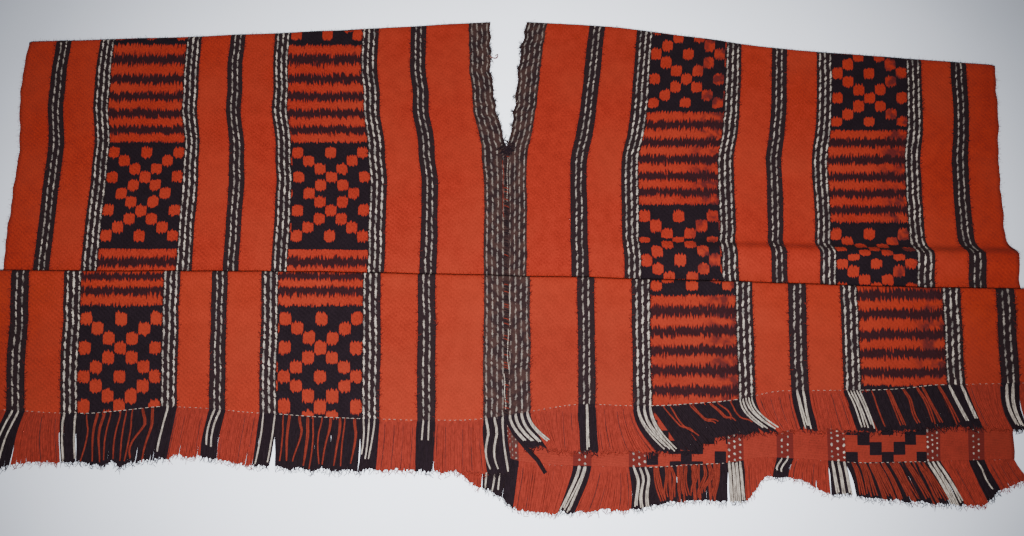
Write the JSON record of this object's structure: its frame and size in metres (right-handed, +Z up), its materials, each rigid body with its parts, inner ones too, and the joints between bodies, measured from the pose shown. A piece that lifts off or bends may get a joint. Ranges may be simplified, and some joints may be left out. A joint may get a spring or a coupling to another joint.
{
  "type": "poncho",
  "caption": "Woven wool poncho of joined loom widths with a neck slit, laid flat and folded at the shoulders, with figured stripes and fringed hems.",
  "frame": {"origin": "on the floor, at the centre of the rectangle that the laid-out poncho covers", "axes": "+X along the shoulder fold from the left loom width to the right one, +Y from the hems to the shoulders, +Z up from the floor"},
  "size_m": [1.3596, 0.6784, 0.013],
  "materials": {
    "cloth": "fulled wool twill with a short nap",
    "fringe": "loose wool warp ends"
  },
  "bodies": {
    "root": {"left_panel": "cloth", "right_panel": "cloth", "front_left_fringe": "fringe", "front_right_fringe": "fringe", "back_left_fringe": "fringe", "back_right_fringe": "fringe"}
  },
  "joints": []
}
